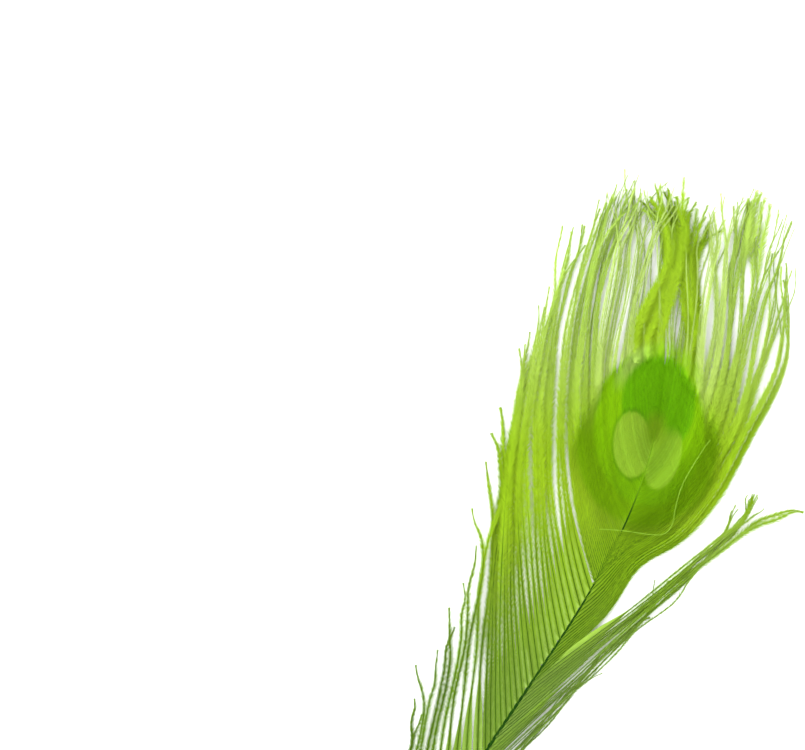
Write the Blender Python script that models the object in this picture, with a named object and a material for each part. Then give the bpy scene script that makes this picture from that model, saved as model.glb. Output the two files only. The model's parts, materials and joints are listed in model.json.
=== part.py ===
"""A dyed peacock eye feather, cut short and lying flat with its eye up, as one solid.

The shaft runs up +Y from its cut end. The eye is a thin lens on the shaft, and the barbs are locks
that leave the shaft on both sides. Locks, lens and shaft are fused, because the feather grew as one.
"""
import math

import bmesh
import bpy
from mathutils import Matrix, Vector

MM = 0.001

# Places in the plane are measured in millimetres from the middle of the shaft's cut end
CUT_END_X = -17.35
CUT_END_Y = -123.9

# Shaft: straight below, bending to the left through the eye
STRAIGHT_END = (15.5, 100.0)
SHAFT_TIP = (15.0, 181.0)
BEND_START_HEADING = 8.8
BEND_END_HEADING = -16.0
BEND_REACH = 28.5
CUT_WIDTH = 1.9
BEND_WIDTH = 1.1
TIP_WIDTH = 0.5
TIP_HEIGHT = 0.9
SHAFT_STEPS = 10
MEASURE_STEPS = 200

# Section of the shaft, in half widths: corners cut deepest below, for a flat face to lie on
SECTION_FOOT = 0.62
SECTION_FOOT_RISE = -0.55
SECTION_TOP = 0.5

# Eye: a lens as wide as the dark ring, thin at its rim
EYE_CENTRE = (15.5, 172.5)
EYE_HALF_WIDTH = 19.5
EYE_HALF_LENGTH = 26.0
EYE_HALF_THICKNESS = 0.45
EYE_TURN = 20.0
EYE_SEGMENTS = 28
EYE_RINGS = 8

# Locks: a flat diamond in section, at its widest a third of the way out. Their tips stand at a few
# levels, and lie a little short of the guides or beyond them.
LOCK_THICKNESS = 0.26
LOCK_STEPS = 8
LOCK_WIDEST = 0.35
LOCK_TAPER = 1.6
TIP_SHARE = 0.22
ROOT_SHARE = 0.4
LOCK_BOW = 1.4
TIP_STAGGER = 3.2
STAGGER_STEP = 2.4
LOWEST_TIP = 0.15
TIP_LEVEL = 1.3
TIP_LEVELS = 5
LEVEL_STEP = 3
WELD_DISTANCE = 0.002

# How the locks stand along the shaft: from, to, how many, half width
LOCK_GROUPS = (
    (10.0, 70.0, 9, 1.5),
    (78.0, 92.0, 4, 1.55),
    (98.0, 137.0, 10, 1.55),
    (141.0, 155.0, 5, 1.7),
    (157.5, 179.0, 12, 1.6),
)

# Guide barbs: place on the shaft, lift from the shaft in degrees, reach of the first handle,
# tip across and along, the tip's heading in degrees from +Y, and reach of the second handle
RIGHT_GUIDES = (
    (6.0, 6.0, 28.0, 25.0, 92.0, 20.0, 28.0),
    (30.0, 10.0, 32.0, 34.0, 116.0, 21.0, 30.0),
    (52.0, 14.0, 36.0, 41.0, 137.0, 19.0, 32.0),
    (60.0, 15.5, 37.0, 44.5, 144.0, 20.0, 31.0),
    (68.0, 17.0, 38.0, 50.0, 158.0, 22.0, 30.0),
    (78.0, 17.0, 42.0, 64.0, 172.0, 42.0, 30.0),
    (86.0, 18.0, 42.0, 52.0, 173.0, 22.0, 30.0),
    (92.0, 17.0, 40.0, 47.0, 168.0, 22.0, 28.0),
    (98.0, 15.0, 69.0, 35.5, 230.0, -20.0, 50.0),
    (110.0, 18.5, 58.0, 32.0, 231.0, -14.0, 46.0),
    (119.0, 23.0, 57.0, 28.0, 234.0, -12.0, 45.0),
    (128.0, 27.0, 55.0, 24.0, 243.0, -10.0, 45.0),
    (141.0, 34.0, 42.0, 14.0, 246.0, -12.0, 42.0),
    (155.0, 46.0, 28.0, 9.0, 240.0, -12.0, 28.0),
    (162.0, 40.0, 19.0, 3.0, 237.0, -20.0, 25.0),
    (170.0, 28.0, 15.0, -2.0, 238.0, -21.0, 25.0),
    (181.0, 4.0, 14.0, -8.0, 238.0, -21.0, 20.0),
)
LEFT_GUIDES = (
    (6.0, 21.0, 26.0, -12.0, 74.0, -14.0, 24.0),
    (52.0, 29.0, 30.0, -15.0, 122.0, -19.0, 30.0),
    (75.0, 34.0, 34.0, -22.0, 158.0, -20.0, 30.0),
    (93.0, 40.0, 36.0, -27.0, 188.0, -12.0, 34.0),
    (110.0, 45.0, 38.0, -27.0, 214.0, -4.0, 36.0),
    (128.0, 48.0, 41.0, -22.0, 226.0, -2.0, 36.0),
    (141.0, 47.0, 32.0, -20.0, 232.0, -5.0, 35.0),
    (155.0, 55.0, 25.0, -17.0, 234.0, -10.0, 30.0),
    (162.0, 50.0, 20.0, -15.0, 236.0, -13.0, 28.0),
    (170.0, 38.0, 12.0, -13.0, 234.0, -20.0, 25.0),
    (181.0, 4.0, 12.0, -10.0, 238.0, -21.0, 20.0),
)


def heading(degrees):
    """Unit step in the plane, turned clockwise from +Y."""
    return Vector((math.sin(math.radians(degrees)), math.cos(math.radians(degrees)), 0.0))


def place(across, along, up=0.0):
    """Millimetres from the cut end to metres in the part's frame."""
    return Vector((CUT_END_X + across, CUT_END_Y + along, up)) * MM


def bezier(a, b, c, d, t):
    """Point on a cubic curve between a and d."""
    s = 1.0 - t
    return a * s ** 3 + b * (3 * s * s * t) + c * (3 * s * t * t) + d * t ** 3


def shaft_corners():
    """The four points that shape the bent part of the shaft."""
    start = Vector((*STRAIGHT_END, BEND_WIDTH / 2))
    end = Vector((*SHAFT_TIP, TIP_HEIGHT))
    rise = Vector((0.0, 0.0, (TIP_HEIGHT - BEND_WIDTH / 2) / 3))
    return (
        start,
        start + heading(BEND_START_HEADING) * BEND_REACH + rise,
        end - heading(BEND_END_HEADING) * BEND_REACH - rise,
        end,
    )


def shaft_at(distance):
    """Middle of the shaft, and its heading in degrees, this far from the cut end."""
    straight = Vector((*STRAIGHT_END, 0.0)).length
    start = Vector((0.0, 0.0, CUT_WIDTH / 2))
    corners = shaft_corners()
    if distance <= straight:
        point = start.lerp(corners[0], distance / straight)
        return point, math.degrees(math.atan2(*STRAIGHT_END))
    left = distance - straight
    previous = corners[0]
    for step in range(1, MEASURE_STEPS + 1):
        point = bezier(*corners, step / MEASURE_STEPS)
        left -= (point - previous).length
        if left <= 0.0 or step == MEASURE_STEPS:
            along = point - previous
            return point, math.degrees(math.atan2(along.x, along.y))
        previous = point


def guide_at(guides, distance):
    """Numbers of the guide barb at this distance, on a smooth curve through the guides."""
    last = len(guides) - 2
    index = next((i for i in range(last) if distance < guides[i + 1][0]), last)
    before, low, high = guides[max(index - 1, 0)], guides[index], guides[index + 1]
    after = guides[min(index + 2, len(guides) - 1)]
    t = (distance - low[0]) / (high[0] - low[0])
    values = []
    for p, a, b, n in zip(before, low, high, after):
        bend = 2 * a + t * (b - p) + t * t * (2 * p - 5 * a + 4 * b - n) + t ** 3 * (3 * a - p - 3 * b + n)
        values.append(bend / 2)
    return values[1:]


def lock_corners(side, distance, stagger, tip_height):
    """The four points that shape one lock, in millimetres from the cut end."""
    guides = RIGHT_GUIDES if side > 0 else LEFT_GUIDES
    lift, reach, across, along, turn, tip_reach = guide_at(guides, distance)
    root, shaft_heading = shaft_at(distance)
    tip = Vector((across, along, tip_height)) + heading(turn) * stagger
    bow = Vector((0.0, 0.0, LOCK_BOW))
    first = root + heading(shaft_heading + side * lift) * reach + bow
    second = tip - heading(turn) * tip_reach + bow
    return root, first, second, tip


def new_curve(name, points, profile, cyclic=False):
    """A curve object with one straight-sided spline through points of (place, radius)."""
    data = bpy.data.curves.new(name, "CURVE")
    data.dimensions = "3D"
    data.twist_mode = "Z_UP"
    data.use_fill_caps = profile is not None
    if profile is not None:
        data.bevel_mode = "OBJECT"
        data.bevel_object = profile
    spline = data.splines.new("POLY")
    spline.points.add(len(points) - 1)
    spline.use_cyclic_u = cyclic
    for point, (where, radius) in zip(spline.points, points):
        point.co = (*where, 1.0)
        point.radius = radius
    return bpy.data.objects.new(name, data)


def solid_from(curve_object):
    """The curve's tube as a closed mesh in bmesh."""
    bpy.context.scene.collection.objects.link(curve_object)
    bpy.context.view_layer.update()
    evaluated = curve_object.evaluated_get(bpy.context.evaluated_depsgraph_get())
    mesh = bpy.data.meshes.new_from_object(evaluated)
    mesh.transform(curve_object.matrix_world)
    solid = bmesh.new()
    solid.from_mesh(mesh)
    bmesh.ops.remove_doubles(solid, verts=solid.verts, dist=WELD_DISTANCE * MM)
    bmesh.ops.recalc_face_normals(solid, faces=solid.faces)
    bpy.data.meshes.remove(mesh)
    bpy.data.objects.remove(curve_object)
    return solid


def make_profiles(collection):
    """Sections of the shaft and of a lock, each one unit wide to both sides."""
    right_half = [(SECTION_FOOT, -1.0), (1.0, SECTION_FOOT_RISE), (1.0, SECTION_TOP), (SECTION_TOP, 1.0)]
    square = right_half + [(-x, y) for x, y in reversed(right_half)]
    diamond = [(-1.0, 0.0), (0.0, -LOCK_THICKNESS), (1.0, 0.0), (0.0, LOCK_THICKNESS)]
    profiles = []
    for name, outline in (("shaft_section", square), ("lock_section", diamond)):
        points = [(Vector((x, y, 0.0)) * MM, 1.0) for x, y in outline]
        profile = new_curve(name, points, None, cyclic=True)
        collection.objects.link(profile)
        profiles.append(profile)
    return profiles


def make_shaft(section):
    """A tapering square rod with a flat underside."""
    points = [(place(0.0, 0.0, CUT_WIDTH / 2), CUT_WIDTH / 2)]
    corners = shaft_corners()
    for step in range(SHAFT_STEPS + 1):
        t = step / SHAFT_STEPS
        where = bezier(*corners, t)
        width = BEND_WIDTH + (TIP_WIDTH - BEND_WIDTH) * t
        points.append((place(*where), width / 2))
    return solid_from(new_curve("shaft", points, section))


def make_lock(section, side, distance, half_width, index):
    """One flattened lock, swelling from its root and tapering to its tip."""
    stagger = TIP_STAGGER * math.sin(STAGGER_STEP * index + side)
    tip_height = LOWEST_TIP + TIP_LEVEL * ((index * LEVEL_STEP + (side > 0)) % TIP_LEVELS)
    corners = lock_corners(side, distance, stagger, tip_height)
    points = []
    for step in range(LOCK_STEPS + 1):
        t = step / LOCK_STEPS
        if t < LOCK_WIDEST:
            share = ROOT_SHARE + (1.0 - ROOT_SHARE) * math.sin(math.pi / 2 * t / LOCK_WIDEST)
        else:
            share = 1.0 - (1.0 - TIP_SHARE) * ((t - LOCK_WIDEST) / (1.0 - LOCK_WIDEST)) ** LOCK_TAPER
        points.append((place(*bezier(*corners, t)), half_width * share))
    return solid_from(new_curve("lock", points, section))


def make_eye():
    """A thin lens, a little longer than wide, turned with the shaft's bend."""
    lens = bmesh.new()
    bmesh.ops.create_uvsphere(lens, u_segments=EYE_SEGMENTS, v_segments=EYE_RINGS, radius=1.0)
    shape = Matrix.Diagonal((EYE_HALF_WIDTH * MM, EYE_HALF_LENGTH * MM, EYE_HALF_THICKNESS * MM, 1.0))
    turn = Matrix.Rotation(math.radians(EYE_TURN), 4, "Z")
    centre = Matrix.Translation(place(*EYE_CENTRE, TIP_HEIGHT))
    bmesh.ops.transform(lens, matrix=centre @ turn @ shape, verts=lens.verts)
    return lens


def add_object(name, solid, collection):
    """A mesh object from a bmesh, which is freed."""
    mesh = bpy.data.meshes.new(name)
    solid.to_mesh(mesh)
    solid.free()
    made = bpy.data.objects.new(name, mesh)
    collection.objects.link(made)
    return made


def fuse(target, piece):
    """Union of the piece into the target, applied. The exact solver loses these thin crossing locks."""
    union = target.modifiers.new("union", "BOOLEAN")
    union.operation = "UNION"
    union.solver = "MANIFOLD"
    union.object = piece
    bpy.context.view_layer.update()
    evaluated = target.evaluated_get(bpy.context.evaluated_depsgraph_get())
    joined = bpy.data.meshes.new_from_object(evaluated)
    target.modifiers.clear()
    previous = target.data
    target.data = joined
    bpy.data.meshes.remove(previous)
    bpy.data.objects.remove(piece)


def fill_pockets(made):
    """Remove the small closed pockets between crossing locks, and keep the outer skin."""
    solid = bmesh.new()
    solid.from_mesh(made.data)
    waiting = set(solid.verts)
    skins = []
    while waiting:
        edge_of_skin = [waiting.pop()]
        skin = list(edge_of_skin)
        while edge_of_skin:
            vertex = edge_of_skin.pop()
            for edge in vertex.link_edges:
                other = edge.other_vert(vertex)
                if other in waiting:
                    waiting.remove(other)
                    edge_of_skin.append(other)
                    skin.append(other)
        skins.append(skin)
    skins.sort(key=len)
    for pocket in skins[:-1]:
        bmesh.ops.delete(solid, geom=pocket, context="VERTS")
    solid.to_mesh(made.data)
    solid.free()


def make_material():
    """Dyed barbs: lime green with a dull, slightly silky surface."""
    material = bpy.data.materials.new("dyed_barbs")
    material.use_nodes = True
    shader = material.node_tree.nodes["Principled BSDF"]
    shader.inputs["Base Color"].default_value = (0.30, 0.52, 0.04, 1.0)
    shader.inputs["Roughness"].default_value = 0.7
    shader.inputs["Metallic"].default_value = 0.0
    return material


def main():
    for old in list(bpy.data.objects):
        bpy.data.objects.remove(old)
    scene = bpy.context.scene
    scene.unit_settings.system = "METRIC"
    whole = bpy.data.collections.new("peacock_feather")
    tools = bpy.data.collections.new("sections")
    tools.hide_render = True
    scene.collection.children.link(whole)
    scene.collection.children.link(tools)

    shaft_section, lock_section = make_profiles(tools)
    feather = add_object("feather", make_shaft(shaft_section), whole)
    fuse(feather, add_object("eye", make_eye(), whole))
    for side in (-1, 1):
        index = 0
        for start, end, count, half_width in LOCK_GROUPS:
            for number in range(count):
                distance = start + (end - start) * number / (count - 1)
                lock = make_lock(lock_section, side, distance, half_width, index)
                fuse(feather, add_object("lock", lock, whole))
                index += 1
    fill_pockets(feather)
    feather.data.name = "feather"
    feather.data.materials.clear()
    feather.data.materials.append(make_material())
    for profile in (shaft_section, lock_section):
        bpy.data.objects.remove(profile)


main()
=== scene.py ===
"""Looks of a dyed peacock eye feather that lies flat with its eye up, seen from straight above.

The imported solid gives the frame. Its place is taken by the shaft, the closed vane of the eye, and
barbs with their barbules. Lengths are in millimetres until a mesh is finished.
"""
import math
from collections import namedtuple

import bmesh
import bpy
import numpy as np
from mathutils import Color, Matrix, Vector
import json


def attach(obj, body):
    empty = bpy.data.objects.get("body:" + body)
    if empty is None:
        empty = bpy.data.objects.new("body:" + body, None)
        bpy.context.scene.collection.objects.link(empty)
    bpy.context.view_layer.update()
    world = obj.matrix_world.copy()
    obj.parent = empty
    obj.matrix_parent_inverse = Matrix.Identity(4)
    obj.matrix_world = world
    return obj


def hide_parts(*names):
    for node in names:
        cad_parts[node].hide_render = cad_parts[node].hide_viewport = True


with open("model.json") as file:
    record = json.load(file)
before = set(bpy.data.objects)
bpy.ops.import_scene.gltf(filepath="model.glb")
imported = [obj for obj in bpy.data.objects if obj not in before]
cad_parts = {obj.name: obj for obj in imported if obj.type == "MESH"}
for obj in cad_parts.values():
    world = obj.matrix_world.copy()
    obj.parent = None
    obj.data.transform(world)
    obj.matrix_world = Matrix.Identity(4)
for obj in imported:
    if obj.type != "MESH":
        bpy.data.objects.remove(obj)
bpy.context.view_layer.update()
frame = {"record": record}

# Shaft: one tapering horny rod with flat sides and a grooved back, which grew from the skin.
# The dye leaves it darker than the barbs. It was cut across below, and white pith fills the cut.
MM = 0.001
MOUNT_ACROSS, MOUNT_ALONG = 7.75, 50.0
STRAIGHT_END = (15.5, 100.0)
SHAFT_TIP = (15.0, 181.0)
BEND_START_HEADING, BEND_END_HEADING = 8.8, -16.0
BEND_REACH = 28.5
STRAIGHT_STEPS, BEND_STEPS = 60, 120
CUT_WIDTH, BEND_WIDTH, TIP_WIDTH = 1.7, 0.75, 0.12
MIDDLE_HEIGHTS = (0.95, 0.55, 0.9)
SHAFT_SIDES, SHAFT_RINGS = 16, 90
SQUARENESS = 3.2
GROOVE_DEPTH, GROOVE_START = 0.35, 0.75

# Where along the shaft the pith begins to show and is palest, and where the horn turns green
PITH_SPAN, PITH_SHARE = (60.0, 4.0), 0.8
GREEN_SPAN = (149.0, 163.0)
GRAIN_STRETCH, GRAIN_SCALE = (1.0, 0.08, 1.0), 2600.0
GRAIN_STRENGTH, GRAIN_DEPTH = 0.25, 0.0001

mount = frame["record"]["mounts"][0]["pos_m"]
cut_end = np.array([mount[0] / MM - MOUNT_ACROSS, mount[1] / MM - MOUNT_ALONG, 0.0])


def heading(degrees):
    """Unit step in the plane, turned clockwise from +Y."""
    return np.array([math.sin(math.radians(degrees)), math.cos(math.radians(degrees)), 0.0])


def bezier(a, b, c, d, t):
    """Points on a cubic curve from a to d, one for each value of t."""
    t = np.asarray(t)[:, None]
    return a * (1 - t) ** 3 + b * 3 * t * (1 - t) ** 2 + c * 3 * t * t * (1 - t) + d * t ** 3


def shaft_line():
    """Distance from the cut end, place and heading at close steps along the shaft's middle."""
    start = cut_end + np.array([0.0, 0.0, MIDDLE_HEIGHTS[0]])
    bend = cut_end + np.array([*STRAIGHT_END, MIDDLE_HEIGHTS[1]])
    tip = cut_end + np.array([*SHAFT_TIP, MIDDLE_HEIGHTS[2]])
    straight = start + (bend - start) * np.linspace(0.0, 1.0, STRAIGHT_STEPS)[:, None]
    rise = np.array([0.0, 0.0, (MIDDLE_HEIGHTS[2] - MIDDLE_HEIGHTS[1]) / 3])
    first = bend + heading(BEND_START_HEADING) * BEND_REACH + rise
    second = tip - heading(BEND_END_HEADING) * BEND_REACH - rise
    bent = bezier(bend, first, second, tip, np.linspace(0.0, 1.0, BEND_STEPS))
    points = np.concatenate([straight[:-1], bent])
    steps = np.diff(points, axis=0)
    distance = np.concatenate([[0.0], np.cumsum(np.linalg.norm(steps[:, :2], axis=1))])
    turn = np.degrees(np.arctan2(steps[:, 0], steps[:, 1]))
    return distance, points, np.append(turn, turn[-1])


shaft_distance, shaft_points, shaft_turn = shaft_line()


def shaft_at(distance):
    """Place and heading of the shaft's middle this far from the cut end."""
    place = np.array([np.interp(distance, shaft_distance, shaft_points[:, axis]) for axis in range(3)])
    return place, float(np.interp(distance, shaft_distance, shaft_turn))


class Reading:
    """A number that changes over a surface. Arithmetic on it adds Math nodes to its material."""

    def __init__(self, finish, socket):
        self.finish = finish
        self.socket = socket

    def math(self, operation, *others):
        values = {place: value for place, value in enumerate((self, *others))}
        return self.finish.number("ShaderNodeMath", {"operation": operation}, values)

    def __add__(self, other):
        return self.math("ADD", other)

    def __radd__(self, other):
        return self.math("ADD", other)

    def __sub__(self, other):
        return self.math("SUBTRACT", other)

    def __mul__(self, other):
        return self.math("MULTIPLY", other)

    def __rmul__(self, other):
        return self.math("MULTIPLY", other)

    def __truediv__(self, other):
        return self.math("DIVIDE", other)

    def __pow__(self, other):
        return self.math("POWER", other)


class Finish:
    """A material in the making: a Principled shader and the nodes that feed it."""

    def __init__(self, name, **plain):
        self.material = bpy.data.materials.new(name)
        self.material.use_nodes = True
        self.tree = self.material.node_tree
        self.shader = self.tree.nodes["Principled BSDF"]
        for socket, value in plain.items():
            self.shader.inputs[socket.replace("_", " ")].default_value = value

    def link(self, value, socket):
        """Gives a socket its value, or joins it to the reading or the socket that feeds it."""
        if isinstance(value, Reading):
            value = value.socket
        if isinstance(value, bpy.types.NodeSocket):
            self.tree.links.new(value, socket)
        else:
            socket.default_value = value

    def node(self, kind, settings=None, sockets=None):
        """Any node: its settings first, then its sockets' values or links, by name or by number."""
        made = self.tree.nodes.new(kind)
        for name, value in (settings or {}).items():
            setattr(made, name, value)
        for name, value in (sockets or {}).items():
            self.link(value, made.inputs[name])
        return made

    def number(self, kind, settings=None, sockets=None, output=0):
        """The reading that a node puts out."""
        return Reading(self, self.node(kind, settings, sockets).outputs[output])

    def attribute(self, name):
        """A number that each point of the piece carries."""
        return self.number("ShaderNodeAttribute", {"attribute_name": name}, output="Fac")

    def step(self, value, low, high):
        """0 below low and 1 above high, or the other way round if high is the smaller."""
        settings = {"interpolation_type": "SMOOTHSTEP"}
        sockets = {"Value": value, "From Min": min(low, high), "From Max": max(low, high)}
        sockets.update({"To Min": float(low > high), "To Max": float(low < high)})
        return self.number("ShaderNodeMapRange", settings, sockets)

    def noise(self, place, scale):
        """A reading that wanders between 0 and 1."""
        settings = {"noise_dimensions": "3D"}
        return self.number("ShaderNodeTexNoise", settings, {"Vector": place, "Scale": scale, "Detail": 2.0})

    def blend(self, share, one, other):
        """Colour between one and the other."""
        return self.node("ShaderNodeMix", {"data_type": "RGBA"}, {0: share, 6: one, 7: other}).outputs[2]


def dye(red, green, blue):
    """A colour as it is read off a screen, from 0 to 255, for a colour socket."""
    return (*Color((red / 255, green / 255, blue / 255)).from_srgb_to_scene_linear(), 1.0)


def swept(section, frames):
    """A closed rod: a ring of points carried through frames, which are matrices, and capped."""
    rod = bmesh.new()
    ring = bmesh.ops.create_circle(rod, cap_ends=True, segments=len(section), radius=1.0)["verts"]
    for vertex, (across, up) in zip(ring, section):
        vertex.co = (across, 0.0, up)
    bmesh.ops.transform(rod, matrix=frames[0], verts=ring)
    edges = list({edge for vertex in ring for edge in vertex.link_edges})
    for before, after in zip(frames, frames[1:]):
        made = bmesh.ops.extrude_edge_only(rod, edges=edges)["geom"]
        ring = [item for item in made if isinstance(item, bmesh.types.BMVert)]
        edges = [item for item in made if isinstance(item, bmesh.types.BMEdge)]
        edges = [edge for edge in edges if all(vertex in ring for vertex in edge.verts)]
        bmesh.ops.transform(rod, matrix=after @ before.inverted(), verts=ring)
    bmesh.ops.edgeloop_fill(rod, edges=edges)
    bmesh.ops.recalc_face_normals(rod, faces=rod.faces)
    return rod


def meshed(name, shape):
    """The mesh of a bmesh, which is freed."""
    mesh = bpy.data.meshes.new(name)
    shape.to_mesh(mesh)
    shape.free()
    return mesh


def finished(name, mesh, finish):
    mesh.transform(Matrix.Scale(MM, 4))
    mesh.materials.append(finish.material)
    piece = bpy.data.objects.new(name, mesh)
    bpy.context.scene.collection.objects.link(piece)
    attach(piece, "root")
    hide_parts("feather")


def shaft_section():
    """Outline of the shaft: a square with soft corners and a groove along the back."""
    outline = []
    for number in range(SHAFT_SIDES):
        angle = 2 * math.pi * (number + 0.5) / SHAFT_SIDES
        across, up = math.cos(angle), math.sin(angle)
        stretch = 0.5 / (abs(across) ** SQUARENESS + abs(up) ** SQUARENESS) ** (1 / SQUARENESS)
        groove = GROOVE_DEPTH * max(0.0, -up - GROOVE_START)
        outline.append((across * stretch, up * stretch + groove))
    return outline


def shaft_frames():
    """Matrices that carry the section along the shaft, upright and thinning."""
    stations = (0.0, math.hypot(*STRAIGHT_END), shaft_distance[-1])
    frames = []
    for distance in np.linspace(0.0, shaft_distance[-1], SHAFT_RINGS):
        place, turn = shaft_at(distance)
        width = np.interp(distance, stations, (CUT_WIDTH, BEND_WIDTH, TIP_WIDTH))
        turned = Matrix.Rotation(-math.radians(turn), 4, "Z")
        sized = Matrix.Diagonal((width, 1.0, width, 1.0))
        frames.append(Matrix.Translation(Vector(place)) @ turned @ sized)
    return frames


def horn_finish():
    """Dark dyed horn with a fine grain, pale near the cut and green inside the eye."""
    finish = Finish("dyed_horn", Roughness=0.6, Specular_IOR_Level=0.05)
    place = finish.node("ShaderNodeTexCoord").outputs["Object"]
    stretched = finish.node("ShaderNodeMapping", None, {"Vector": place, "Scale": GRAIN_STRETCH})
    grain = finish.noise(stretched.outputs[0], GRAIN_SCALE)
    along = finish.number("ShaderNodeSeparateXYZ", None, {0: place}, output="Y")
    near_cut = finish.step(along, *((cut_end[1] + distance) * MM for distance in PITH_SPAN))
    in_eye = finish.step(along, *((cut_end[1] + distance) * MM for distance in GREEN_SPAN))
    horn = finish.blend(grain, dye(6, 40, 0), dye(24, 66, 2))
    horn = finish.blend(in_eye, horn, dye(98, 142, 8))
    horn = finish.blend(PITH_SHARE * near_cut, horn, dye(150, 176, 92))
    finish.link(horn, finish.shader.inputs["Base Color"])
    relief = {"Height": grain, "Strength": GRAIN_STRENGTH, "Distance": GRAIN_DEPTH}
    bump = finish.node("ShaderNodeBump", None, relief)
    finish.link(bump.outputs[0], finish.shader.inputs["Normal"])
    return finish


shaft = meshed("shaft", swept(shaft_section(), shaft_frames()))
shaft.shade_smooth()
finished("shaft", shaft, horn_finish())

# Loose barbs of the lower shaft: soft side branches, each a thin rib with two rows of barbules that
# have no hooks. Near the shaft they lap into a thin web, and farther out they part into strands.
BARB_LENGTH = 100.0
RIB_RADIUS, RIB_TIP_RADIUS, RIB_THINNING = 0.17, 0.04, 0.8
RIB_HEIGHT = 1.2
RIB_SIDES, RIB_TURN, RIB_STOPS = 5, 0.3, 41

# Barbules: how long and wide they are, how they slant and rise from the rib, how far below its
# middle they leave it, and how far all of this is scattered
BARBULE_LENGTH, LENGTH_SCATTER = 2.5, (0.75, 1.1)
BARBULE_WIDTH, WIDTH_SCATTER = 0.3, (0.7, 1.2)
BARBULE_SLANT, SLANT_SCATTER = 42.0, 6.0
BARBULE_RISE, RISE_SCATTER = 0.12, 0.14
BARBULE_DROP, PLACE_SCATTER = 0.12, 0.3
FRINGE_REACH = 0.7

# Web: a thin strip with a low ridge under each barb
WEB_STOPS, WEB_RIDGE, WEB_THICKNESS, WEB_DROP = 40, 0.06, 0.05, 0.2
WEB_SHARES, EYE_WEB_SHARE = (0.7, 1.25), 0.7
WEB_HALF_WIDTHS, WEB_EDGE = (0.12, 1.3), 0.06
WEB_FRINGE, WEB_VARIETY = 0.6, 0.4
WEB_PALENESS = {-1: (0.0, 0.6), 1: (0.0, 0.35)}

# Guide barbs: place on the shaft, lift from the shaft in degrees, reach of the first handle,
# tip across and along, the tip's heading in degrees from +Y, and reach of the second handle
RIGHT_GUIDES = np.array([
    (6.0, 5.5, 28.0, 25.0, 92.0, 20.0, 26.0),
    (30.0, 7.5, 32.0, 32.0, 116.0, 20.0, 28.0),
    (50.0, 9.5, 36.0, 39.0, 136.0, 18.0, 28.0),
    (57.0, 10.5, 37.0, 43.0, 143.5, 14.0, 24.0),
    (62.0, 13.5, 40.0, 48.0, 161.0, 16.0, 24.0),
    (74.0, 15.5, 42.0, 50.0, 169.0, 10.0, 16.0),
    (77.0, 16.5, 42.0, 63.0, 171.0, 60.0, 22.0),
    (80.0, 16.5, 42.0, 63.0, 171.0, 58.0, 22.0),
    (83.0, 17.5, 42.0, 51.0, 171.5, 10.0, 15.0),
    (96.4, 17.0, 38.0, 50.0, 169.5, 6.0, 13.0),
    (97.3, 15.0, 69.0, 34.0, 229.0, -20.0, 46.0),
    (97.4, 15.0, 69.0, 34.0, 229.0, -20.0, 46.0),
    (110.0, 18.5, 58.0, 32.0, 231.0, -14.0, 46.0),
    (119.0, 23.0, 57.0, 28.0, 234.0, -12.0, 45.0),
    (128.0, 27.0, 55.0, 24.0, 243.0, -10.0, 45.0),
    (141.0, 34.0, 42.0, 14.0, 246.0, -12.0, 42.0),
    (155.0, 46.0, 28.0, 9.0, 238.5, -12.0, 28.0),
    (162.0, 40.0, 19.0, 3.0, 234.5, -20.0, 25.0),
    (170.0, 28.0, 15.0, -2.0, 235.0, -21.0, 25.0),
    (181.0, 0.0, 14.0, -9.0, 235.0, -21.0, 20.0),
])
LEFT_GUIDES = np.array([
    (6.0, 21.0, 26.0, -12.0, 74.0, -14.0, 24.0),
    (52.0, 29.0, 30.0, -15.0, 122.0, -19.0, 30.0),
    (75.0, 34.0, 34.0, -22.0, 158.0, -20.0, 30.0),
    (93.0, 40.0, 36.0, -27.0, 188.0, -12.0, 34.0),
    (110.0, 45.0, 38.0, -27.0, 214.0, -4.0, 36.0),
    (128.0, 48.0, 41.0, -22.0, 226.0, -2.0, 36.0),
    (141.0, 47.0, 32.0, -20.0, 232.0, -5.0, 35.0),
    (155.0, 55.0, 25.0, -15.5, 234.0, -11.0, 30.0),
    (162.0, 50.0, 20.0, -10.5, 234.5, -11.0, 28.0),
    (170.0, 38.0, 12.0, -13.0, 232.0, -20.0, 25.0),
    (181.0, 0.0, 14.0, -9.0, 235.0, -21.0, 20.0),
])
PATH_STEPS = np.linspace(0.0, 1.0, 61)

# Groups of barbs: first and last place on the shaft, number of barbs, barbs a lock, width of their
# fringes beside the eye, the narrowest and widest of their fringes in the crown, how far their tips
# stand apart, the share of the gap to the next barb that each side of the web fills, and how far
# from the shaft the web is whole, and is gone
Group = namedtuple("Group", "start end count in_lock beside_eye in_crown ragged web_share web_reach")
LOWEST_LEFT = Group(10.0, 70.0, 11, 2, 0.6, (0.4, 0.6), 2.5, 0.6, (8.0, 30.0))
LOWEST_RIGHT = Group(10.0, 57.0, 11, 2, 0.22, (0.4, 0.6), 1.6, 0.4, (6.0, 24.0))
LOW_STRAYS = Group(62.0, 74.0, 5, 3, 0.28, (0.5, 0.7), 1.4, 0.6, (12.0, 28.0))
FAR_STRAYS = Group(77.5, 79.5, 2, 2, 0.6, (0.5, 0.6), 0.5, 0.7, (20.0, 36.0))
HIGH_STRAYS = Group(82.4, 96.4, 7, 4, 0.34, (0.6, 0.8), 1.2, 0.6, (17.0, 29.0))
RIGHT_BODY = Group(97.4, 129.5, 15, 3, 0.64, (0.14, 0.38), 1.5, 0.75, (40.0, 75.0))
LEFT_BODY = Group(74.0, 130.5, 22, 3, 0.88, (0.3, 0.6), 2.5, 0.62, (8.0, 32.0))
RIM = Group(131.0, 146.4, 20, 4, 0.8, (0.17, 0.4), 2.6, 0.7, (12.0, 40.0))
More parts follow.
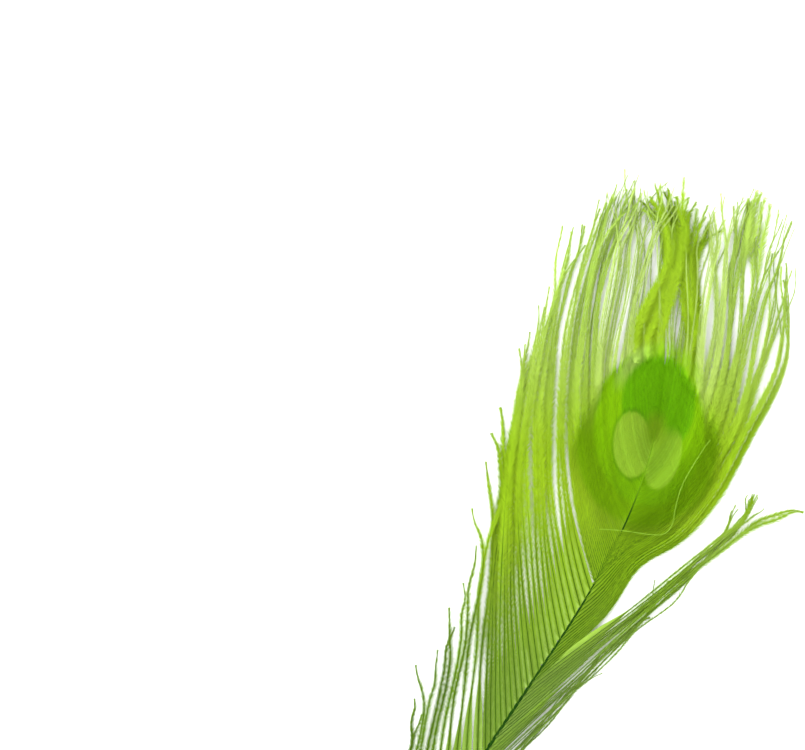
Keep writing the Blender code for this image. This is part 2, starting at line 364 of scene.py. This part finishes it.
LOWER_GROUPS = {
    -1: (LOWEST_LEFT, LEFT_BODY),
    1: (LOWEST_RIGHT, LOW_STRAYS, FAR_STRAYS, HIGH_STRAYS, RIGHT_BODY),
}
SIDES = ((-1, "left"), (1, "right"))
LONG_BARB_PAIRS, LONG_BARB_SEEDS = 560, range(3)
LOCKS_APART = 5

# The eye: its centre, how many degrees it is turned to the left of +Y, and how far its vane lies
# above the shaft's middle. The vane is closed in an oval that narrows toward the crown, and the
# barbs part between two shares of it.
EYE_CENTRE = cut_end + np.array([15.7, 171.7, 0.0])
EYE_TURN = 25.0
EYE_RISE, RISE_SPAN = 0.8, (0.0, 0.2)
VANE_CENTRE = (-0.7, -0.3)
VANE_HALF_WIDTH, VANE_NARROWING, NARROWING_SPAN = 19.8, 4.8, (-8.0, 12.0)
VANE_TOP, VANE_FOOT = 21.0, 24.5
CLOSED_RIM = (1.0, 1.22)

# The right edge is pressed in below the eye, where the stray barbs leave it
DENT = np.array([31.4, 136.7, 0.0])
DENT_HEADING, DENT_DEPTH, DENT_REACH = -66.0, 3.6, 10.0

# The crown's two dense clumps, left and right: the barbs in each, all but one in five, and how far
# across from the eye's centre its outer and inner edges lie at some heights. They meet above the
# eye, and part again.
CLUMP_BARBS, STRAY_EVERY = {-1: (165.0, 179.0), 1: (160.5, 168.0)}, 5
CLUMP_HOLD, CLUMP_SPAN, CLUMP_ENDS = 0.9, (22.0, 34.0), (24.0, 76.0)
CLUMP_EDGES = {
    -1: np.array([
        (28.0, -5.3, 3.5),
        (38.0, -0.5, 6.1),
        (48.0, 5.1, 9.0),
        (57.0, 5.1, 10.0),
        (65.0, 3.3, 10.3),
        (73.0, -0.5, 10.3),
    ]),
    1: np.array([
        (28.0, 14.5, 10.9),
        (38.0, 14.5, 9.3),
        (48.0, 13.5, 9.0),
        (57.0, 14.0, 10.0),
        (65.0, 17.0, 10.3),
        (73.0, 19.0, 10.5),
    ]),
}

# Locks: their arch, the heights of their tips, taken in turn with a stride, and their own waves.
# Their barbs gather over a span of their length and spread a little again at the tips. The thin
# barbs of the eye gather less, and so do those on the left, which also sway less.
LOCK_BOW = 1.4
TIP_HEIGHTS, HEIGHT_STRIDE = (0.15, 1.45, 2.75, 4.05, 5.35), 3
STAGGER_TURN, TIP_SCATTER = 2.4, 0.7
LOCK_WAVE, LOCK_CURL, LEFT_SWAY = 1.2, 1.5, 0.6
GATHERING, GATHER_SPAN = (0.55, 0.95), (0.35, 0.75)
SPREADING, SPREAD_SPAN = 0.5, (0.85, 1.0)
THIN_GATHERING, LEFT_GATHERING = 0.5, 0.4
THIN_FROM = 147.0

# Waves of a barb: how far it swings, how its tip curls and is crimped, and how far it is twisted
BARB_LIFT = 0.3
BARB_WAVE, BARB_CURL, BARB_TWIST = 0.8, 1.8, 0.6
WAVE_COUNTS, WAVE_GROWTH, RISING_WAVE = (1.2, 2.6), 1.5, 0.5
CURL_SPAN = (0.8, 1.15)
CRIMP_SIZES, CRIMP_SPAN, CRIMPS_A_WAVE = (0.15, 0.5), (0.72, 1.0), 3
LOWEST_RIB, LOWEST_POINT = 0.25, 0.02

# Fringes of a barb, as shares of the straight barb's: inside the eye, at the root, in a dense clump
# and at the tip. The barbs of one stretch of the right side end in a tuft.
CROWN_SPAN = (8.0, 34.0)
EYE_FRINGE, DENSE_FRINGE = 0.2, (0.8, 1.1)
ROOT_FRINGE, ROOT_SPAN = 0.6, (0.25, 0.45)
TIP_NARROWING, TIP_SPAN = 0.55, (0.88, 1.0)
TUFT, TUFT_FRINGE, TUFT_SPAN = (135.0, 141.0), 0.9, (0.82, 0.92)

# Paleness of a barb, which comes in beside the eye: most in the crown, and none in a dense clump
CROWN_PALENESS, INNER_PALENESS, LOWER_PALENESS = 0.85, 0.45, 0.4
PALE_SPAN = (-14.0, 20.0)

draw = np.random.default_rng(seed=5)


def guide_at(guides, distance):
    """Numbers of the guide barb at this distance, on a smooth curve through the guides."""
    index = int(np.clip(np.searchsorted(guides[:, 0], distance) - 1, 0, len(guides) - 2))
    p, a = guides[max(index - 1, 0)], guides[index]
    b, n = guides[index + 1], guides[min(index + 2, len(guides) - 1)]
    t = (distance - a[0]) / (b[0] - a[0])
    bend = 2 * a + t * (b - p) + t * t * (2 * p - 5 * a + 4 * b - n) + t ** 3 * (3 * a - p - 3 * b + n)
    return bend[1:] / 2


def smooth(value, low, high):
    """0 below low, 1 above high, and a soft step between."""
    t = np.clip((value - low) / (high - low), 0.0, 1.0)
    return t * t * (3 - 2 * t)


def barb_path(side, distance, stagger=0.0, tip_height=1.5):
    """Places along the middle of the barb that leaves the shaft at this distance."""
    guides = RIGHT_GUIDES if side > 0 else LEFT_GUIDES
    lift, reach, across, along, turn, tip_reach = guide_at(guides, distance)
    root, shaft_heading = shaft_at(distance)
    tip = cut_end + np.array([across, along, tip_height]) + heading(turn) * stagger
    bow = np.array([0.0, 0.0, LOCK_BOW])
    first = root + heading(shaft_heading + side * lift) * reach + bow
    second = tip - heading(turn) * tip_reach + bow
    path = bezier(root, first, second, tip, PATH_STEPS)
    if side > 0 and distance >= RIGHT_BODY.start:
        away = np.linalg.norm((path - cut_end - DENT)[:, :2], axis=1)
        path += heading(DENT_HEADING) * (DENT_DEPTH * np.exp(-(away / DENT_REACH) ** 2))[:, None]
    return path


def frames_along(path):
    """Unit steps to the side and up from each place on a path."""
    ahead = np.gradient(path, axis=0)
    ahead /= np.linalg.norm(ahead, axis=1)[:, None]
    beside = np.cross(ahead, (0.0, 0.0, 1.0))
    beside /= np.linalg.norm(beside, axis=1)[:, None]
    return beside, np.cross(beside, ahead)


def eye_places(path):
    """Places across and up from the eye's centre, along its own axes."""
    turn = math.radians(EYE_TURN)
    across, along = (path - EYE_CENTRE)[:, :2].T
    return across * math.cos(turn) + along * math.sin(turn), along * math.cos(turn) - across * math.sin(turn)


def closed_share(path):
    """1 where the eye's vane is closed, inside its dark ring, and 0 where the barbs are loose."""
    u, v = eye_places(path)
    half_width = VANE_HALF_WIDTH - VANE_NARROWING * smooth(v, *NARROWING_SPAN)
    half_height = np.where(v > 0, VANE_TOP, VANE_FOOT)
    reach = np.hypot((u - VANE_CENTRE[0]) / half_width, (v - VANE_CENTRE[1]) / half_height)
    return 1 - smooth(reach, *CLOSED_RIM)


def points_of(mesh):
    """The mesh's points, as rows of an array."""
    places = np.empty(len(mesh.vertices) * 3)
    mesh.vertices.foreach_get("co", places)
    return places.reshape(-1, 3)


def straight_barb(pairs, seed, rib=1.0):
    """One barb laid straight along +Y, as a mesh, with each point's share of the way out its barbule.

    It has this many pairs of barbules, and its rib is this thick beside the lower barbs'.
    """
    scatter = np.random.default_rng(seed)
    stops = np.linspace(0.0, 1.0, RIB_STOPS)
    radii = rib * (RIB_TIP_RADIUS + (RIB_RADIUS - RIB_TIP_RADIUS) * (1 - stops) ** RIB_THINNING)
    angles = np.linspace(0.0, 2 * math.pi, RIB_SIDES, endpoint=False) + RIB_TURN
    frames = []
    for stop, radius in zip(stops, radii):
        size = Matrix.Diagonal((radius, 1.0, radius * RIB_HEIGHT, 1.0))
        frames.append(Matrix.Translation((0.0, stop * BARB_LENGTH, 0.0)) @ size)
    barb = swept([(math.cos(angle), math.sin(angle)) for angle in angles], frames)
    on_rib = len(barb.verts)
    for number in range(pairs):
        for hand in (-1, 1):
            share = (number + 0.5 + scatter.uniform(-PLACE_SCATTER, PLACE_SCATTER)) / pairs
            slant = math.radians(BARBULE_SLANT + scatter.normal(0.0, SLANT_SCATTER))
            length = BARBULE_LENGTH * scatter.uniform(*LENGTH_SCATTER)
            rise = scatter.normal(BARBULE_RISE, RISE_SCATTER)
            radius = BARBULE_WIDTH * scatter.uniform(*WIDTH_SCATTER) / 2
            root = Matrix.Translation((0.0, share * BARB_LENGTH, -BARBULE_DROP))
            lean = Matrix.Rotation(-hand * slant, 4, "Z") @ Matrix.Rotation(rise, 4, "X")
            laid = Matrix.Rotation(-math.pi / 2, 4, "X") @ Matrix.Translation((0.0, 0.0, length / 2))
            bmesh.ops.create_cone(
                barb,
                cap_ends=True,
                segments=3,
                radius1=radius,
                radius2=0.0,
                depth=length,
                matrix=root @ lean @ laid,
            )
    mesh = meshed("straight_barb", barb)
    places = points_of(mesh)
    fringe = np.clip(np.abs(places[:, 0]) / (BARBULE_LENGTH * FRINGE_REACH), 0.0, 1.0)
    fringe[:on_rib] = 0.0
    return mesh, places, fringe


def straight_web():
    """A thin strip with a low ridge, one unit wide to both sides, as a mesh along +Y."""
    strip = bmesh.new()
    bmesh.ops.create_grid(strip, x_segments=2, y_segments=WEB_STOPS, size=1.0)
    for vertex in strip.verts:
        across, along, _ = vertex.co
        vertex.co = (across, (along + 1) / 2 * BARB_LENGTH, -abs(across) * WEB_RIDGE)
    bmesh.ops.solidify(strip, geom=strip.faces, thickness=WEB_THICKNESS)
    bmesh.ops.recalc_face_normals(strip, faces=strip.faces)
    mesh = meshed("straight_web", strip)
    places = points_of(mesh)
    return mesh, places, np.full(len(places), WEB_FRINGE)


def bent_barb(places, path, width, twist):
    """The straight barb's places carried onto a path, with its fringe this wide at each stop."""
    beside, above = frames_along(path)
    share = places[:, 1] / BARB_LENGTH
    angle = np.interp(share, PATH_STEPS, twist)
    across = places[:, 0] * np.interp(share, PATH_STEPS, width)
    up = places[:, 2]
    side_step = across * np.cos(angle) - up * np.sin(angle)
    up_step = across * np.sin(angle) + up * np.cos(angle)
    bent = np.empty_like(places)
    for axis in range(3):
        middle, aside, rise = (np.interp(share, PATH_STEPS, rows[:, axis]) for rows in (path, beside, above))
        bent[:, axis] = middle + side_step * aside + up_step * rise
    bent[:, 2] = np.maximum(bent[:, 2], LOWEST_POINT)
    return bent


def finished_barbs(name, barbs, finish, variety=1.0):
    """Makes one piece of many barbs or strips of web, whose points carry readings for the finish.

    Each comes as a straight mesh with its places and fringe, a path, and the width, twist and
    paleness at each stop of the path.
    """
    gathered = bmesh.new()
    places, readings = [], {"fringe": [], "shade": [], "pale": []}
    for (template, straight, fringe), path, width, twist, pale in barbs:
        gathered.from_mesh(template)
        places.append(bent_barb(straight, path, width, twist))
        readings["fringe"].append(fringe)
        readings["shade"].append(np.full(len(straight), 0.5 + variety * draw.uniform(-0.5, 0.5)))
        readings["pale"].append(np.interp(straight[:, 1] / BARB_LENGTH, PATH_STEPS, pale))
    mesh = meshed(name, gathered)
    mesh.vertices.foreach_set("co", np.concatenate(places).ravel())
    for reading, values in readings.items():
        mesh.attributes.new(reading, "FLOAT", "POINT").data.foreach_set("value", np.concatenate(values))
    mesh.update()
    mesh.shade_flat()
    finished(name, mesh, finish)


def waved(path, strength, curl):
    """The path with a slow wave to the side and up, a curl at its tip, and a fine crimp there."""
    beside, above = frames_along(path)
    phase, waves = draw.uniform(0, 2 * math.pi, 2), draw.uniform(*WAVE_COUNTS, 2)
    crimp = draw.uniform(*CRIMP_SIZES) * strength * smooth(PATH_STEPS, *CRIMP_SPAN)
    growing = strength * PATH_STEPS ** WAVE_GROWTH
    turns = 2 * math.pi * PATH_STEPS
    side_wave = growing * np.sin(phase[0] + waves[0] * turns) + curl * smooth(PATH_STEPS, *CURL_SPAN)
    side_wave += crimp * np.sin(phase[1] + CRIMPS_A_WAVE * waves[0] * turns)
    up_wave = RISING_WAVE * growing * np.sin(phase[1] + waves[1] * turns)
    path = path + beside * side_wave[:, None] + above * up_wave[:, None]
    path[:, 2] = np.maximum(path[:, 2], LOWEST_RIB)
    return path


def clumped(path, side, distance):
    """The path drawn into its place in the crown's dense clump."""
    u, v = eye_places(path)
    first, last = CLUMP_BARBS[side]
    inner_share = (distance - first) / (last - first)
    edges = np.array([guide_at(CLUMP_EDGES[side], height) for height in np.clip(v, *CLUMP_ENDS)])
    aim = edges[:, 0] + (edges[:, 1] - edges[:, 0]) * inner_share
    shift = (aim - u) * CLUMP_HOLD * smooth(v, *CLUMP_SPAN)
    turn = math.radians(EYE_TURN)
    return path + shift[:, None] * np.array([math.cos(turn), math.sin(turn), 0.0])


def fringe_width(path, side, distance, group, dense, inside):
    """Width of the barb's fringes at each stop of its path."""
    in_crown = draw.uniform(*DENSE_FRINGE) if dense else draw.uniform(*group.in_crown)
    below_crown = 1 - smooth(eye_places(path)[1], *CROWN_SPAN)
    beside_eye = group.beside_eye * (ROOT_FRINGE + (1 - ROOT_FRINGE) * smooth(PATH_STEPS, *ROOT_SPAN))
    width = (in_crown + (beside_eye - in_crown) * below_crown) * (1 - inside) + EYE_FRINGE * inside
    if side > 0 and TUFT[0] <= distance <= TUFT[1]:
        width += TUFT_FRINGE * smooth(PATH_STEPS, *TUFT_SPAN)
    return width * (1 - TIP_NARROWING * smooth(PATH_STEPS, *TIP_SPAN))


def paleness(path, side, distance, dense, thin):
    """Paleness of the barb at each stop of its path."""
    if side > 0 and distance < RIGHT_BODY.start:
        return np.full_like(PATH_STEPS, LOWER_PALENESS)
    if dense:
        palest = 0.0
    elif not thin:
        palest = LOWER_PALENESS
    elif distance > CLUMP_BARBS[side][1]:
        palest = INNER_PALENESS
    else:
        palest = CROWN_PALENESS
    return palest * smooth(eye_places(path)[1], *PALE_SPAN)


def web_under(path, side, group, inside, step_over):
    """The strip of web under a barb, as wide as its share of the step over to the next barb."""
    gap = np.abs(np.sum(step_over * frames_along(path)[0], axis=1))
    length = np.linalg.norm(np.diff(path, axis=0), axis=1).sum()
    closed = np.maximum(inside, 1 - smooth(PATH_STEPS * length, *group.web_reach))
    share = np.maximum(group.web_share * draw.uniform(*WEB_SHARES), EYE_WEB_SHARE * inside)
    half_width = np.clip(gap * share, *WEB_HALF_WIDTHS) * closed + WEB_EDGE
    pale = np.full_like(PATH_STEPS, draw.uniform(*WEB_PALENESS[side]))
    return web, path - np.array([0.0, 0.0, WEB_DROP]), half_width, np.zeros_like(PATH_STEPS), pale


def laid_barbs(side, straight, group, order, beyond=None):
    """Barbs of one group, gathered into locks where they are loose, and the web between them.

    The order counts the locks from this number, and sets how high and how far out their tips end.
    The last web reaches for the barb beyond the group, if its place on the shaft is given, and
    otherwise as far as the web before it.
    """
    distances = np.linspace(group.start, group.end, group.count)
    plain = [barb_path(side, distance) for distance in distances]
    barbs, webs = [], []
    for number, distance in enumerate(distances):
        if number % group.in_lock == 0:
            centre = plain[min(number + group.in_lock // 2, group.count - 1)]
            sway = waved(centre, LOCK_WAVE, draw.normal(0.0, LOCK_CURL)) - centre
            stagger = group.ragged * math.sin(STAGGER_TURN * order + side)
            tip_height = TIP_HEIGHTS[(order * HEIGHT_STRIDE + (side > 0)) % len(TIP_HEIGHTS)]
            gather = draw.uniform(*GATHERING)
            order += 1
        inside = closed_share(plain[number])
        own = barb_path(side, distance, stagger + draw.normal(0.0, group.ragged * TIP_SCATTER), tip_height)
        own[:, 2] += BARB_LIFT
        dense = CLUMP_BARBS[side][0] <= distance <= CLUMP_BARBS[side][1] and number % STRAY_EVERY > 0
        thin = distance > THIN_FROM and not dense
        hold = gather * (THIN_GATHERING if thin else LEFT_GATHERING if side < 0 else 1.0)
        spread = 1 - SPREADING * smooth(PATH_STEPS, *SPREAD_SPAN)
        near = hold * smooth(PATH_STEPS, *GATHER_SPAN) * spread
        own += (centre - own) * near[:, None] + sway * (LEFT_SWAY if side < 0 else 1.0)
        if dense:
            own = clumped(own, side, distance)
        own = waved(own, BARB_WAVE, draw.normal(0.0, group.ragged * BARB_CURL))
        flat = plain[number].copy()
        flat[:, 2] = flat[0, 2] + EYE_RISE * smooth(PATH_STEPS, *RISE_SPAN)
        path = flat + (own - flat) * (1 - inside)[:, None]

        width = fringe_width(path, side, distance, group, dense, inside)
        twist = draw.normal(0.0, BARB_TWIST) * PATH_STEPS ** 2 * (1 - inside)
        pale = paleness(path, side, distance, dense, thin)
        barbs.append((straight[number % len(straight)], path, width, twist, pale))
        if number + 1 < group.count:
            step_over = plain[number + 1] - plain[number]
        elif beyond:
            step_over = barb_path(side, beyond) - plain[number]
        webs.append(web_under(path, side, group, inside, step_over))
    return barbs, webs


# Dyes along the feather, and the heights from the eye's centre between which one takes over
BARB_DYE, LOW_DYE, LOW_SPAN = dye(146, 182, 28), dye(114, 148, 46), (-12.0, -75.0)
CROWN_DYE, CROWN_DYE_SPAN, CROWN_SHARE, CROWN_PALE_SHARE = dye(166, 206, 62), (18.0, 50.0), 0.15, 1.4
PATCH_DYE, PATCH_SCALE, PATCH_SPAN, PATCH_SHARE = dye(128, 170, 10), 60.0, (0.35, 0.7), 0.35
PALE_DYE, PALE_DYE_SPAN, PALE_SHARE = dye(206, 226, 140), (-12.0, 34.0), 0.7
PALE_LOW_DYE, PALE_LOW_SPAN, PALE_LOW_SHARE = dye(182, 212, 122), (-14.0, -30.0), 0.6

# Ovals of the eye, each laid over the ones before: its middle across and up from the eye's centre,
# its half width and half height, how far it leans, the shares of it at which its edge begins and
# ends, how much of the colour below it hides, and its own colour
Oval = namedtuple("Oval", "across up half_width half_height lean edge cover colour")
COLLAR = Oval(-2.0, -36.0, 17.0, 17.0, 0.0, (1.2, 0.6), 0.5, dye(124, 168, 8))
RING = Oval(-0.7, -0.8, 20.2, 23.6, 0.0, (1.06, 0.93), 1.0, dye(123, 171, 2))
LIME = Oval(0.1, 3.0, 15.4, 21.5, 0.0, (1.05, 0.96), 1.0, dye(140, 195, 4))
HALO = Oval(2.8, 10.5, 12.0, 15.0, 0.0, (1.2, 0.98), 0.8, dye(146, 198, 28))
CAP = Oval(2.8, 9.8, 10.4, 13.6, 0.0, (1.06, 0.9), 1.0, dye(114, 184, 2))
RIGHT_LOBE = Oval(4.1, -5.0, 4.9, 9.0, 0.2, (1.09, 0.91), 1.0, dye(157, 202, 48))
LEFT_LOBE = Oval(-4.6, -1.5, 5.3, 9.2, 0.0, (1.07, 0.92), 1.0, dye(155, 196, 50))
SPOT = Oval(2.0, 2.6, 3.2, 5.2, 0.0, (1.4, 0.3), 0.85, dye(140, 180, 28))
RAGGED_EDGE = 0.07

# Where the ring ends above, where the lime darkens toward its foot, where the halo begins and pales,
# where the right lobe ends above, and the dark outline of the left one
RING_SPAN = (14.0, -2.0)
LIME_FOOT_DYE, LIME_FOOT_SPAN = dye(124, 178, 4), (0.0, -15.0)
HALO_SPAN, PALE_HALO_DYE, PALE_HALO_SPAN = (12.0, 22.0), dye(180, 210, 104), (3.0, -5.0)
RIGHT_LOBE_SPAN = (5.0, -1.0)
OUTLINE_DYE, OUTLINE_EDGES, OUTLINE_SHARE = dye(84, 140, 4), ((1.2, 1.05), (0.92, 1.02)), 0.45

# Ribs: how near to the rib a barb takes its colour, which reaches farther out low on the feather.
# Some ribs are light in the heart. All are darker than their barbules, most of all low down.
RIB_EDGE = (0.2, 0.0)
WIDE_RIB_EDGE, WIDE_RIB_SPAN, WIDE_RIB_SHARE = (0.5, 0.15), (-20.0, -40.0), 0.4
LIGHT_RIB_DYE, LIGHT_RIB_SHADES, LIGHT_RIB_SHARE = dye(176, 212, 96), (0.3, 0.7), 0.5
HEART_EDGE = (1.05, 0.94)
DARK_RIB_DYE, DARK_RIB_SPAN, DARK_RIB_SHARES = dye(58, 98, 6), (-8.0, -34.0), (0.1, 0.7)
DARKEST, SHADE_RANGE = 0.76, 0.17


def barb_finish():
    """Lime dye on barbs, duller low on the feather and paler in the crown, with the eye's ovals."""
    finish = Finish("dyed_barbs", Roughness=0.75, Specular_IOR_Level=0.08)
    place = finish.node("ShaderNodeTexCoord").outputs["Object"]
    fringe, shade, pale = (finish.attribute(name) for name in ("fringe", "shade", "pale"))
    eye = finish.node("ShaderNodeMapping", {"vector_type": "TEXTURE"}, {
        "Vector": place,
        "Location": EYE_CENTRE * MM,
        "Rotation": (0.0, 0.0, math.radians(EYE_TURN)),
        "Scale": (MM, MM, MM),
    })
    split = finish.node("ShaderNodeSeparateXYZ", None, {0: eye.outputs[0]})
    u, v = (Reading(finish, split.outputs[axis]) for axis in ("X", "Y"))
    ragged_edge = (shade - 0.5) * RAGGED_EDGE

    def reach(oval):
        """1 on the oval's rim, and less inside."""
        wide = (u - oval.across - (v - oval.up) * oval.lean) / oval.half_width
        high = (v - oval.up) / oval.half_height
        return (wide * wide + high * high) ** 0.5 + ragged_edge

    def cover(oval):
        """How much of the colour below the oval hides."""
        return oval.cover * finish.step(reach(oval), *oval.edge)

    colour = finish.blend(finish.step(v, *LOW_SPAN), BARB_DYE, LOW_DYE)
    in_crown = finish.step(v, *CROWN_DYE_SPAN) * (CROWN_SHARE + CROWN_PALE_SHARE * pale)
    colour = finish.blend(in_crown, colour, CROWN_DYE)
    patches = finish.step(finish.noise(place, PATCH_SCALE), *PATCH_SPAN)
    colour = finish.blend(PATCH_SHARE * patches, colour, PATCH_DYE)
    colour = finish.blend(PALE_SHARE * (pale * finish.step(v, *PALE_DYE_SPAN)), colour, PALE_DYE)
    colour = finish.blend(PALE_LOW_SHARE * (pale * finish.step(v, *PALE_LOW_SPAN)), colour, PALE_LOW_DYE)

    lime = finish.blend(finish.step(v, *LIME_FOOT_SPAN), LIME.colour, LIME_FOOT_DYE)
    halo = finish.blend(finish.step(u, *PALE_HALO_SPAN), HALO.colour, PALE_HALO_DYE)
    left_reach = reach(LEFT_LOBE)
    outer_edge, inner_edge = (finish.step(left_reach, *edge) for edge in OUTLINE_EDGES)
    right_lobe = cover(RIGHT_LOBE) * finish.step(v, *RIGHT_LOBE_SPAN)
    colour = finish.blend(cover(COLLAR), colour, COLLAR.colour)
    colour = finish.blend(cover(RING) * finish.step(v, *RING_SPAN), colour, RING.colour)
    colour = finish.blend(cover(LIME), colour, lime)
    colour = finish.blend(cover(HALO) * finish.step(v, *HALO_SPAN), colour, halo)
    colour = finish.blend(cover(CAP), colour, CAP.colour)
    colour = finish.blend(OUTLINE_SHARE * (outer_edge * inner_edge), colour, OUTLINE_DYE)
    colour = finish.blend(right_lobe, colour, RIGHT_LOBE.colour)
    colour = finish.blend(cover(LEFT_LOBE), colour, LEFT_LOBE.colour)
    colour = finish.blend(cover(SPOT), colour, SPOT.colour)

    wide_rib = finish.step(v, *WIDE_RIB_SPAN) * finish.step(fringe, *WIDE_RIB_EDGE)
    rib = finish.step(fringe, *RIB_EDGE) + WIDE_RIB_SHARE * wide_rib
    heart = finish.step(left_reach, *HEART_EDGE) + right_lobe
    light_rib = rib * heart * finish.step(shade, *LIGHT_RIB_SHADES)
    colour = finish.blend(LIGHT_RIB_SHARE * light_rib, colour, LIGHT_RIB_DYE)
    least, more = DARK_RIB_SHARES
    dark_rib = rib * (least + more * finish.step(v, *DARK_RIB_SPAN))
    colour = finish.blend(dark_rib, colour, DARK_RIB_DYE)
    toned = {"Value": DARKEST + SHADE_RANGE * shade, "Color": colour}
    tone = finish.node("ShaderNodeHueSaturation", None, toned)
    finish.link(tone.outputs[0], finish.shader.inputs["Base Color"])
    return finish


dyed = barb_finish()
web = straight_web()
long_barbs = [straight_barb(LONG_BARB_PAIRS, seed) for seed in LONG_BARB_SEEDS]
for side, hand in SIDES:
    barbs, webs = [], []
    starts = [group.start for group in LOWER_GROUPS[side]] + [RIM.start]
    for number, group in enumerate(LOWER_GROUPS[side]):
        order, beyond = number * LOCKS_APART, starts[number + 1]
        some_barbs, some_webs = laid_barbs(side, long_barbs, group, order, beyond)
        barbs += some_barbs
        webs += some_webs
    finished_barbs(f"{hand}_lower_barbs", barbs, dyed)
    finished_barbs(f"{hand}_lower_web", webs, dyed, WEB_VARIETY)

# Eye and crown: finer barbs that stand close together. Inside the eye their barbules are flat and
# lap over each other into a closed vane, and beyond its rim they part into the locks of the crown.
EYE_GROUPS = {
    -1: (
        Group(147.2, 164.2, 24, 4, 0.75, (0.16, 0.36), 3.0, 0.7, (12.0, 30.0)),
        Group(165.0, 181.0, 33, 5, 0.75, (0.08, 0.24), 3.0, 0.7, (12.0, 30.0)),
    ),
    1: (
        Group(147.2, 159.8, 16, 4, 0.75, (0.26, 0.5), 3.0, 0.7, (12.0, 30.0)),
        Group(160.5, 168.0, 16, 5, 0.75, (0.08, 0.24), 3.0, 0.7, (12.0, 30.0)),
        Group(169.0, 180.0, 12, 5, 0.75, (0.12, 0.3), 3.0, 0.7, (12.0, 30.0)),
    ),
}
SHORT_BARB_PAIRS = 300
RIM_BARB_SEEDS, EYE_BARB_SEEDS = range(10, 13), range(13, 16)
EYE_RIB = 0.7
FIRST_RIM_LOCK, FIRST_EYE_LOCK = 22, 28

rim_barbs = [straight_barb(SHORT_BARB_PAIRS, seed) for seed in RIM_BARB_SEEDS]
eye_barbs = [straight_barb(SHORT_BARB_PAIRS, seed, EYE_RIB) for seed in EYE_BARB_SEEDS]
for side, hand in SIDES:
    outer_barbs, webs = laid_barbs(side, rim_barbs, RIM, FIRST_RIM_LOCK, EYE_GROUPS[side][0].start)
    inner_barbs = []
    for number, group in enumerate(EYE_GROUPS[side]):
        some_barbs, some_webs = laid_barbs(side, eye_barbs, group, FIRST_EYE_LOCK + number * LOCKS_APART)
        inner_barbs += some_barbs
        webs += some_webs
    finished_barbs(f"{hand}_rim_barbs", outer_barbs, dyed)
    finished_barbs(f"{hand}_eye_barbs", inner_barbs, dyed)
    finished_barbs(f"{hand}_eye_web", webs, dyed, WEB_VARIETY)

# Loose barb: one barb, paler than the rest and nearly bare, that came loose on the right and swung
# back over the foot of the eye, where it lies on the others. Its places are across and up from the
# eye's centre, from its free end on the left.
LOOSE_COURSE = np.array([
    (-14.0, -25.0),
    (-7.6, -25.4),
    (2.8, -26.6),
    (6.2, -24.0),
    (7.4, -18.5),
    (9.5, -12.0),
    (14.8, -3.1),
    (17.0, -0.2),
])
LOOSE_HEIGHT, LOOSE_FRINGE = 3.8, 0.1

stops = np.linspace(0.0, 1.0, len(LOOSE_COURSE))
course = np.array([guide_at(np.column_stack([stops, LOOSE_COURSE]), stop) for stop in PATH_STEPS])
across, along = course.T
turn = math.radians(EYE_TURN)
loose_path = EYE_CENTRE + np.column_stack([
    across * math.cos(turn) - along * math.sin(turn),
    across * math.sin(turn) + along * math.cos(turn),
    np.full_like(across, LOOSE_HEIGHT),
])
faded = Finish("faded_barb", Roughness=0.75, Specular_IOR_Level=0.08)
faded.link(dye(162, 204, 72), faded.shader.inputs["Base Color"])
none = np.zeros_like(PATH_STEPS)
loose_barb = (rim_barbs[0], loose_path, np.full_like(PATH_STEPS, LOOSE_FRINGE), none, none)
finished_barbs("loose_barb", [loose_barb], faded)

# Surroundings: a white table top, even soft light from all round and one large soft lamp, and a
# long lens straight above, turned so that the feather leans to the right as it does in the photo.
# The table and the lamp are in metres, and the photo's pixel and centre in millimetres.
TABLE_HALF_WIDTH, TABLE_HEIGHT = 3.0, -0.00003
ROOM_LIGHT = 1.8
LAMP_WIDTH, LAMP_POWER = 0.9, 15.0
LAMP_PLACE, LAMP_AIM = Vector((-0.7, 0.5, 1.3)), Vector((-0.02, 0.04, 0.0))
PHOTO_PIXELS, PIXEL = 805, 0.28
PHOTO_CENTRE = (-54.2, 158.9)
LENS, SENSOR = 120.0, 36.0

table_shape = bmesh.new()
bmesh.ops.create_grid(table_shape, x_segments=1, y_segments=1, size=TABLE_HALF_WIDTH)
table_top = bpy.data.objects.new("table_top", meshed("table_top", table_shape))
table_top.location.z = TABLE_HEIGHT
paper = Finish("white_paper", Roughness=0.9, Specular_IOR_Level=0.0)
paper.link(dye(252, 252, 252), paper.shader.inputs["Base Color"])
table_top.data.materials.append(paper.material)
bpy.context.scene.collection.objects.link(table_top)

room = bpy.data.worlds.new("soft_room")
room.use_nodes = True
room.node_tree.nodes["Background"].inputs["Color"].default_value = (1.0, 1.0, 1.0, 1.0)
room.node_tree.nodes["Background"].inputs["Strength"].default_value = ROOM_LIGHT
bpy.context.scene.world = room

lamp_data = bpy.data.lights.new("soft_lamp", "AREA")
lamp_data.shape = "DISK"
lamp_data.size = LAMP_WIDTH
lamp_data.energy = LAMP_POWER
lamp = bpy.data.objects.new("soft_lamp", lamp_data)
lamp.location = LAMP_PLACE
lamp.rotation_euler = (LAMP_AIM - LAMP_PLACE).to_track_quat("-Z", "Y").to_euler()
bpy.context.scene.collection.objects.link(lamp)

camera_data = bpy.data.cameras.new("camera")
camera_data.lens = LENS
camera_data.sensor_width = SENSOR
camera = bpy.data.objects.new("camera", camera_data)
camera_height = PHOTO_PIXELS * PIXEL * LENS / SENSOR
camera.location = Vector(cut_end + np.array([*PHOTO_CENTRE, camera_height])) * MM
camera.rotation_euler = (0.0, 0.0, math.radians(EYE_TURN))
bpy.context.scene.collection.objects.link(camera)
bpy.context.scene.camera = camera
bpy.context.scene.view_settings.view_transform = "Standard"
